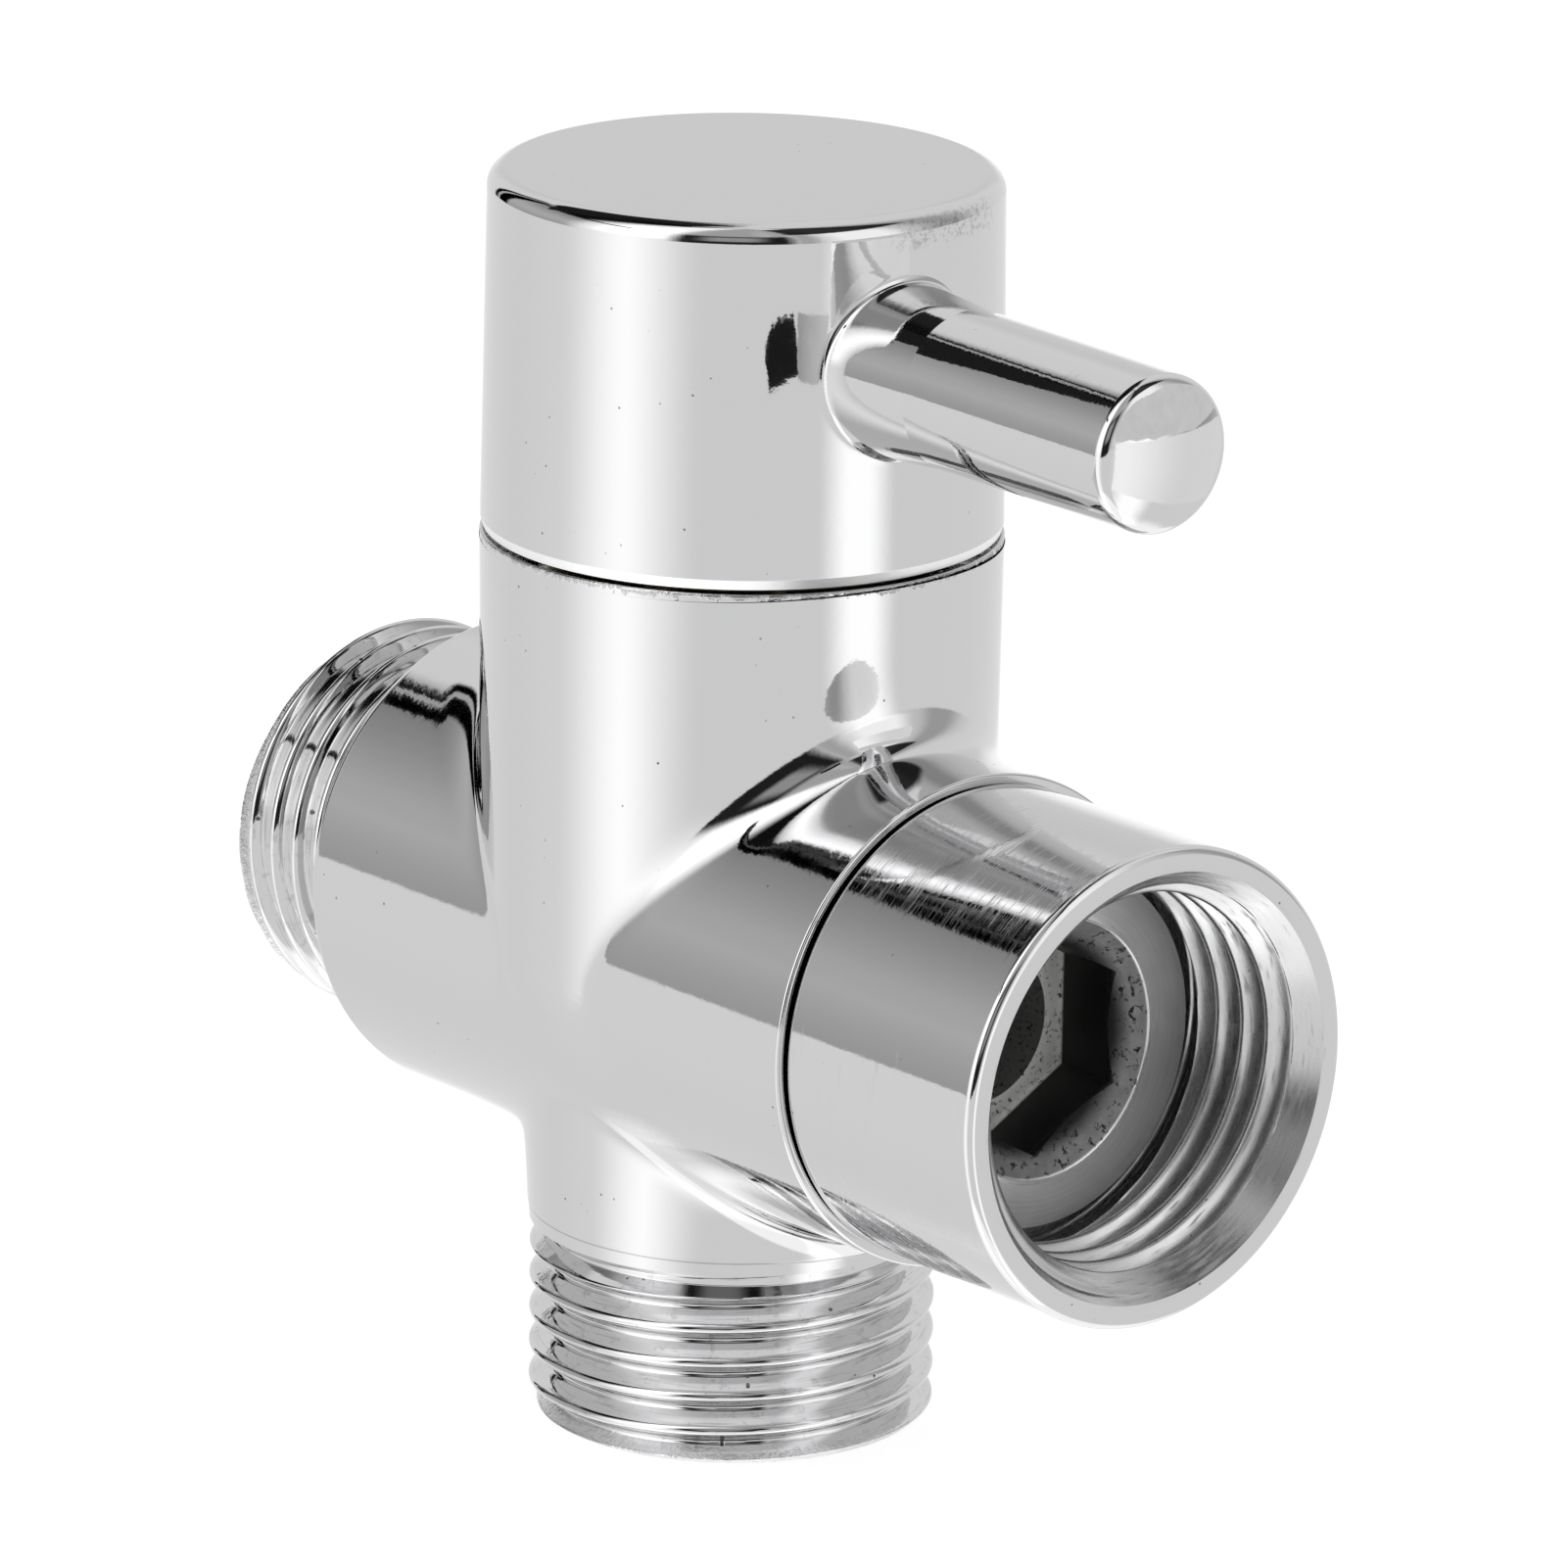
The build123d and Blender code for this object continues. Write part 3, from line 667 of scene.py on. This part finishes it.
def stain(recipe, skin):
    """Small dark spots along the knob's top edge, beside the lever."""
    ragged = skin.height + recipe.noise(skin.place, 2.4, 4.0, 0.7) * 1.8
    edge = recipe.step(ragged, KNOB_TOP - 1.0, KNOB_TOP - 0.6)
    spots = recipe.step(recipe.noise(skin.place, 3.6, 3.0, 0.7), 0.50, 0.60)
    part = recipe.band(skin.angle, 1.40, 1.60, 2.0, 2.15)
    part = part * recipe.step(skin.radius, KNOB_RADIUS - 0.7, KNOB_RADIUS - 0.4)
    skin.dark += edge * spots * part * 0.35


def chamfer_highlight(recipe, skin):
    """The knob's foot chamfer, with a painted highlight: its colour raised towards white, and its plating
    duller.
    """
    lit_chamfer = recipe.step(skin.height, CHAMFER_TOP + 0.04, CHAMFER_TOP - 0.02)
    lit_chamfer = lit_chamfer * recipe.step(skin.radius, KNOB_RADIUS - 0.4, KNOB_RADIUS - 0.25)
    # Painted highlight: the chamfer's colour is raised towards white, standing for the band of light it
    # shows.
    skin.bright += lit_chamfer * 0.9
    skin.dull += lit_chamfer * 0.30


def plating(name, axis, line_share, pit_share, marks):
    """Bright plating: a mirror with slow waves and orange peel, fine lines round its axis, a dull veil where
    the lines are deep, and scattered pinholes in patches. Each mark then adds to how bright, dark, dull or
    raised the skin is."""
    material, recipe = finish(name)
    place = recipe.place()
    around = recipe.around(place, axis)
    skin = SimpleNamespace(place=place, height=around[0], radius=around[1], angle=around[2])
    wave, peel = recipe.noise(place, 0.16), recipe.noise(place, 1.6, 3.0, 0.6)
    skin.lines = recipe.streaks(around, 5.0, 6.0)
    deep_part = recipe.step(recipe.noise(place, 0.3), 0.40, 0.62)
    skin.deep = recipe.step(skin.lines, 0.56, 0.72) * deep_part * line_share
    patch = recipe.step(recipe.noise(place, 0.14, 1.0), 0.52, 0.62)
    pit = recipe.step(recipe.cells(place, 0.9), 0.085, 0.03) * patch * pit_share
    smear = recipe.step(recipe.noise(place, 0.45, 4.0, 0.65), 0.45, 0.75)
    # bright carries only the painted highlight on the knob's chamfer; dark starts with the pinholes.
    skin.bright, skin.dark = 0.0, pit
    skin.dull = smear * 0.03 + skin.deep * 0.20 + 0.035
    skin.relief = wave * 0.012 + peel * 0.0026 + skin.lines * 0.0006 * line_share
    for mark in marks:
        mark(recipe, skin)
    recipe.lit({
        "Base Color": recipe.blend(skin.bright, recipe.blend(skin.dark, CHROME, grey(0.12)), grey(1.0)),
        "Metallic": 1.0,
        "Roughness": skin.dull + pit * 0.25,
        "Normal": recipe.bump(skin.relief),
    })
    return material


def thread_plating(name, axis):
    """Plating over a cut thread: bright, with tool lines along the turns, specks of grime in the grooves,
    nicks on the crests and a rough, raised edge at the outlet's rim."""
    material, recipe = finish(name)
    place = recipe.place()
    around = recipe.around(place, axis)
    fine, coarse = recipe.streaks(around, 9.0, 3.0), recipe.streaks(around, 2.6, 1.2)
    grime = recipe.step(recipe.noise(place, 1.3, 5.0, 0.75), 0.56, 0.68)
    nick = recipe.step(recipe.cells(place, 0.4), 0.06, 0.035)
    groove = recipe.step(fine, 0.58, 0.72)
    from_end = around[0] if axis == "knob" else around[0] + (HEAD_END + HEAD_THREAD)
    rim = recipe.step(from_end, 0.75, 0.25) * recipe.noise(place, 3.0, 3.0, 0.7)
    colour = recipe.blend(groove * 0.35 + grime * 0.30, CHROME, grey(0.22))
    recipe.lit({
        "Base Color": recipe.blend(nick * 0.85, colour, grey(0.06)),
        "Metallic": 1.0,
        "Roughness": groove * 0.06 + grime * 0.05 + rim * 0.2 + 0.045,
        "Normal": recipe.bump(fine * 0.0012 + coarse * 0.004 - nick * 0.02 + rim * 0.09),
    })
    return material


def nipple_metal():
    """Bare grey nipple: turned rings on its face, a painted highlight round the countersink's edge, corroded
    and pitted inside it, the hexagon socket painted black as shade, and painted light in patches on the
    socket's floor."""
    material, recipe = finish("machined_nipple")
    place = recipe.place()
    around = recipe.around(place, "flow")
    height, radius, _ = around
    rings = recipe.streaks(around, 7.0, 2.0)
    mottle, rot = recipe.noise(place, 1.1, 5.0, 0.65), recipe.noise(place, 2.6, 4.0, 0.7)
    cloud = recipe.noise(place, 0.22, 3.0)
    in_reach = recipe.step(radius, SOCKET_REACH + 0.1, SOCKET_REACH - 0.1)
    # Painted highlight: a pale band round the countersink's edge, where its rim would catch the light.
    edge = recipe.band(radius, SINK_RADIUS - 0.08, SINK_RADIUS + 0.06, SINK_RADIUS + 0.2, SINK_RADIUS + 0.4)
    sink = recipe.step(radius, SINK_RADIUS + 0.06, SINK_RADIUS - 0.04)
    sink = sink * recipe.step(height, SINK_START - 0.1, SINK_START + 0.1)
    # Painted shade: the hexagon socket's inside is coloured near black.
    socket = recipe.step(height, SINK_START + 0.9, SINK_START + 0.2) * in_reach
    # Painted light: pale patches on the socket's floor, set by the noise below.
    floor = recipe.step(height, SOCKET_FLOOR + 0.1, SOCKET_FLOOR - 0.1) * in_reach
    floor = floor * recipe.step(radius, WATER_BORE - 0.1, WATER_BORE + 0.1)
    pits = recipe.step(rot, 0.56, 0.62) * recipe.step(mottle, 0.42, 0.55)
    # Noise that sets the floor's patches of painted light, and raises them a little.
    lit_patches = recipe.step(recipe.noise(place, 3.5, 3.0, 0.7), 0.30, 0.46)
    face = recipe.blend(cloud * 0.8 + rings * 0.5 - 0.15, (0.42, 0.42, 0.425, 1), (0.78, 0.78, 0.785, 1))
    face = recipe.blend(edge, face, grey(0.72))
    corroded = recipe.blend(pits, recipe.blend(mottle, grey(0.16), grey(0.42)), grey(0.02))
    # Painted shade in the socket, laid over the face and the countersink.
    colour = recipe.blend(socket, recipe.blend(sink, face, corroded), grey(0.022))
    recipe.lit({
        # Painted light on the socket's floor, over its painted shade.
        "Base Color": recipe.blend(floor * lit_patches, colour, (0.80, 0.80, 0.78, 1)),
        "Metallic": 0.75 - sink * 0.10 - floor * 0.25,
        "Roughness": rings * 0.10 + 0.30 + sink * 0.25 + socket * 0.15 - edge * 0.15,
        "Normal": recipe.bump(rings * 0.005 + sink * (mottle * 0.05 - pits * 0.06) + floor * lit_patches * 0.02),
    })
    return material


def turned_metal(name, light, dark, rough):
    """Bare metal off the lathe: lines round the knob's axis, light and dark, with faint stains."""
    material, recipe = finish(name)
    place = recipe.place()
    lines = recipe.streaks(recipe.around(place, "knob"), 6.0, 2.0)
    spots = recipe.step(recipe.noise(place, 0.35, 4.0, 0.6), 0.45, 0.75)
    recipe.lit({
        "Base Color": recipe.blend(spots, recipe.blend(lines, dark, light), dark),
        "Metallic": 1.0,
        "Roughness": lines * 0.12 + spots * 0.10 + rough,
        "Normal": recipe.bump(lines * 0.004),
    })
    return material


def moulded(name, light, dark, grain, rough, height):
    """Rubber, fibre, plastic or ceramic: two tones in cloudy noise, with a fine grain raised on it."""
    material, recipe = finish(name)
    place = recipe.place()
    cloud, fine = recipe.noise(place, 0.5, 3.0), recipe.noise(place, grain, 4.0, 0.6)
    recipe.lit({
        "Base Color": recipe.blend(cloud * 0.6 + fine * 0.4, dark, light),
        "Roughness": fine * 0.15 + rough,
        "Normal": recipe.bump(fine * height),
    })
    return material


# Studio

def studio_world():
    """White for the camera and a plain level for matt surfaces. Metal sees a pale room: soft boxes in front
    and on the right, a grey screen on the left in its dark frame, and dark flags overhead."""
    world = bpy.data.worlds.new("studio")
    bpy.context.scene.world = world
    recipe = Recipe(world)
    facing = recipe.node("ShaderNodeTexCoord", out=0)
    x, y, z = recipe.split(facing)
    azimuth = recipe.math("ARCTAN2", y, x) * (180 / pi)
    elevation = recipe.math("ARCSINE", z) * (180 / pi)
    elevation = elevation + recipe.noise(facing, 26.0, 3.0, 0.6) * 1.2 - 0.6

    def card(centre, half_width, low, high, side=3, end=3):
        """Rectangle of the surroundings, in degrees, as a share from 0 to 1 with soft sides and ends."""
        apart = recipe.math("ABSOLUTE", recipe.math("WRAP", azimuth - centre, 180.0, -180.0))
        across = recipe.step(apart, half_width + side, half_width - side)
        return across * recipe.band(elevation, low - end, low + end, high - end, high + end)

    def over(first, second):
        """The larger of two values."""
        return recipe.math("MAXIMUM", first, second)

    walls = 0.88
    front = card(-93, 17, *EVERY_HEIGHT, 20) * 0.60 + card(-122, 22, *EVERY_HEIGHT, 20) * 0.06
    front = front + card(-93, 14, 4, 60, 14, 6) * 0.8
    right = card(12, 12, -120, -2, 8, 2) * 0.62 + card(15, 17, -3, 100, 8, 2) * 0.55
    back = card(139, 9, -30, 4, 9, 7) * 0.26 - card(140, 18, 7, 30, 8, 5) * 0.11
    table = recipe.step(elevation, -43.5, -48.0) * 0.45
    far_wall = card(38, 46, -4.4, 120, 10, 1.0) * 0.14
    level = front + right + back + table + walls - far_wall

    screen_low, screen_high = -5.4, 37.6
    tones = recipe.node("ShaderNodeValToRGB", {"stops": [
        (0.00, grey(0.45)), (0.17, grey(0.49)), (0.40, grey(0.57)),
        (0.60, grey(0.53)), (0.79, grey(0.43)), (1.00, grey(0.31))]},
        {0: (elevation - screen_low) * (1 / (screen_high - screen_low))})
    screen = card(-151, 28, screen_low, 130, 6, 0.4)
    level = level * (1 - screen) + tones * screen

    past_side = recipe.math("WRAP", azimuth * -1 - 168.0, 180.0, -180.0) * 0.22
    aside, above = over(past_side, 0.0), over(elevation - 37.8, 0.0)
    past = (aside * aside + above * above) ** 0.5
    near = card(-150, 52, screen_low, 60, 5, 0.5)
    border = recipe.band(past, 0.0, 0.5, 3.4, 3.9) * near
    glint = recipe.band(past, 2.1, 2.3, 2.7, 2.9) * near
    level = level * (1 - border) + glint * (recipe.step(past_side, -0.8, -0.2) * 0.4 + 0.1)

    flags = over(card(-174, 42, 42.4, 78, 8, 0.5), card(-148, 18, 41.2, 78, 4, 0.4))
    before_knob = card(-45, 27, -4.4, 110, 5, 1.0) * (1 - recipe.step(elevation, 32.0, 44.0) * 0.55)
    flags = over(flags, before_knob) * 0.98
    flags = over(flags, card(20, 40, 46, 82, 6, 3) * 0.97)
    flags = over(flags, card(-13, 5, -4.4, 110, 4, 1.0) * 0.4)
    flags = over(flags, card(60, 13, -4.4, 110, 8, 1.0) * 0.38)
    level = level * (1 - flags) + card(-46, 13, 10, 32, 7, 4) * 0.36 + card(-30, 5, 36, 70, 4, 8) * 0.10

    camera_ray, glossy_ray, glass_ray = recipe.ray_kinds()
    sockets = {"Color": grey(1), "Strength": camera_ray * 0.05 + 0.95}
    plain = recipe.node("ShaderNodeBackground", None, sockets)
    room = recipe.node("ShaderNodeBackground", None, {"Color": grey(1), "Strength": level})
    shiny = recipe.math("MINIMUM", glossy_ray + glass_ray, 1.0)
    surface = recipe.node("ShaderNodeMixShader", None, {0: shiny, 1: plain, 2: room})
    recipe.output(surface, "ShaderNodeOutputWorld")


def sheet(name, corners):
    """A flat sheet through its corners, in metres."""
    mesh = bpy.data.meshes.new(name)
    mesh.from_pydata([tuple(corner) for corner in corners], [], [tuple(range(len(corners)))])
    made = bpy.data.objects.new(name, mesh)
    bpy.context.scene.collection.objects.link(made)
    return made


def studio_floor():
    """Plain pale floor under the valve: part matt, which keeps the shadow, and part white of its own."""
    reach = 3.0
    corners = [(-reach, -reach, 0), (reach, -reach, 0), (reach, reach, 0), (-reach, reach, 0)]
    floor = sheet("floor", corners)
    floor.visible_glossy = False
    material, recipe = finish("pale_floor")
    matt = recipe.node("ShaderNodeBsdfDiffuse", None, {"Color": grey(0.85)})
    white = recipe.node("ShaderNodeEmission", None, {"Strength": 1.3})
    camera_ray, glossy_ray, glass_ray = recipe.ray_kinds()
    share = recipe.math("MINIMUM", camera_ray + glossy_ray + glass_ray, 1.0) * 0.6
    recipe.output(recipe.node("ShaderNodeMixShader", None, {0: share, 1: matt, 2: white}))
    floor.data.materials.append(material)


def studio_cards():
    """Small sheets near the valve that only its metal sees: a dark one over the lever, a dark and a grey one
    before the knob, and a grey and a bright one before the lever's tip. Each outline is given on a four-sided
    patch, as shares across it both ways. A sheet's glow is its level times a soft and cloudy shade."""
    over_lever = [(-32, -29.5, 87), (-12, -21.5, 94), (-12, -14.8, 97.9), (-32, -11, 98.1)]
    before_knob = [(27.2, -17.8, 56.4), (30.1, -11.9, 56.3), (30.2, -11.7, 52.2), (27.5, -17.4, 52.1)]
    beside_knob = [(30.1, -11.9, 56.3), (31.5, -5.8, 56.1), (31.5, -6.4, 52.5), (30.2, -11.8, 52.7)]
    before_tip = [(51.7, -6.1, 57.6), (35.7, 16.9, 57.6), (35.7, 16.9, 65.4), (51.7, -6.1, 65.4)]
    under_tip = [(51.7, -6.1, 46.0), (35.7, 16.9, 46.0), (35.7, 16.9, 57.6), (51.7, -6.1, 57.6)]
    square = [(0, 0), (1, 0), (1, 1), (0, 1)]
    torn = [(0, 0), (0.2, 0.03), (0.3, -0.02), (0.5, 0.04), (0.62, 0.0), (0.8, 0.05), (0.94, 0.08), (1, 0.3),
            (1, 0.8), (0.9, 1), (0, 1)]
    ragged = [(0.88, 0), (0.74, 0.05), (0.66, 0.01), (0.52, 0.08), (0.42, 0.05), (0.3, 0.14), (0.22, 0.12),
              (0.14, 0.24), (0.02, 0.42), (0.0, 0.6), (0.05, 0.72), (0.1, 0.98), (0.4, 0.9), (0.75, 0.82),
              (1.0, 0.79), (0.98, 0.4)]
    hills = [(0, 0.10), (0.08, 0.04), (0.15, 0.09), (0.22, 0.03), (0.3, 0.06), (0.36, 0.0), (0.45, 0.05),
             (0.5, 0.01), (0.58, 0.04), (0.66, 0.0), (0.72, 0.05), (0.8, 0.10), (0.88, 0.16), (1, 0.2),
             (1, 1), (0, 1)]
    # Name, patch, outline, level, how much it fades to the right, and how cloudy it is
    cards = [
        ("lever_card", over_lever, torn, 0.0, 0.0, 0.3),
        ("knob_card", before_knob, ragged, 0.0, 0.0, 0.3),
        ("grey_card", beside_knob, square, 0.6, 0.0, 0.3),
        ("tip_card", before_tip, hills, 0.62, 0.0, 0.3),
        ("tip_glow", under_tip, square, 1.15, 0.318, 0.05),
    ]
    for name, patch, edge, level, fade, cloudy in cards:
        a, b, c, d = (np.array(corner) * MM for corner in patch)
        corners = [(a * (1 - u) + b * u) * (1 - v) + (d * (1 - u) + c * u) * v for u, v in edge]
        made = sheet(name, corners)
        made.visible_camera = made.visible_diffuse = made.visible_shadow = made.visible_transmission = False
        material, recipe = finish(name)
        place = recipe.place()
        _, aside, _ = recipe.split(place)
        shade = recipe.step(aside, -13.0, -5.0) * 0.55 - recipe.step(aside, -4.0, 9.0) * fade
        shade = shade + recipe.noise(place, 0.5, 4.0, 0.6) * cloudy + 0.55
        recipe.output(recipe.node("ShaderNodeEmission", None, {"Strength": shade * level + 0.015}))
        made.data.materials.append(material)


def camera():
    """Long lens at the photograph's place: fitted to the valve's outlines and its threads."""
    turn, rise, roll = radians(49.8787), radians(16.3601), radians(0.8638)
    distance, across, above = 0.539577, 0.0024155, 0.0076359
    focal_pixels, frame_pixels, sensor_width = 10843.35, 1601, 36.0
    back = Vector((sin(turn) * cos(rise), -cos(turn) * cos(rise), sin(rise)))
    right = Vector((cos(turn), sin(turn), 0))
    up = back.cross(right)
    right, up = cos(roll) * right + sin(roll) * up, -sin(roll) * right + cos(roll) * up
    data = bpy.data.cameras.new("camera")
    data.sensor_width = sensor_width
    data.lens = focal_pixels * sensor_width / frame_pixels
    lens = bpy.data.objects.new("camera", data)
    stand = Matrix((right, up, back)).transposed().to_4x4()
    stand.translation = Vector((0, 0, FLOW * MM)) + right * across + up * above + back * distance
    lens.matrix_world = stand
    bpy.context.scene.collection.objects.link(lens)
    bpy.context.scene.camera = lens


bpy.context.scene.view_settings.view_transform = "Standard"
studio_world()
studio_floor()
studio_cards()
camera()

polished = plating("polished_casting", "knob", 0.0, 1.0, (score, burr_and_seam_shade))
lathed = plating("lathed_nut", "flow", 1.0, 0.8, (turning, inside_cut))
knob_chrome = plating("polished_knob", "knob", 0.25, 0.8, (stain, chamfer_highlight))
brass = turned_metal("turned_brass", (0.72, 0.58, 0.32, 1), (0.50, 0.37, 0.18, 1), 0.22)
steel = turned_metal("dark_steel", (0.55, 0.55, 0.56, 1), (0.30, 0.30, 0.31, 1), 0.28)
rubber = moulded("black_rubber", (0.035, 0.035, 0.036, 1), (0.012, 0.012, 0.012, 1), 5.0, 0.55, 0.01)
fibre = moulded("red_fibre", (0.42, 0.10, 0.06, 1), (0.22, 0.05, 0.03, 1), 8.0, 0.70, 0.03)
plastic = moulded("white_plastic", (0.85, 0.85, 0.82, 1), (0.74, 0.74, 0.70, 1), 3.0, 0.35, 0.004)
ceramic = moulded("lapped_ceramic", (0.88, 0.87, 0.84, 1), (0.78, 0.77, 0.74, 1), 6.0, 0.18, 0.002)
finishes = {
    "valve_body": polished, "swivel_nut": lathed, "knob": knob_chrome, "inlet_nipple": nipple_metal(),
    "inlet_gasket": rubber, "bonnet": brass, "bonnet_gasket": fibre, "seat_gasket": rubber,
    "fixed_disc": ceramic, "turning_disc": ceramic, "rotor": plastic, "port_seat": plastic,
    "port_ring": rubber, "stem": brass, "stem_ring_lower": rubber, "stem_ring_upper": rubber,
    "thrust_washer": plastic, "stop_washer": brass, "stem_clip": steel, "grub_screw": steel,
}
for name, material in finishes.items():
    NODES[name].data.materials.clear()
    NODES[name].data.materials.append(material)
casting().data.materials.append(polished)
hose_thread().data.materials.append(thread_plating("plated_thread_up", "knob"))
head_thread().data.materials.append(thread_plating("plated_thread_along", "flow"))
swivel_nut().data.materials.append(lathed)
knob().data.materials.append(knob_chrome)
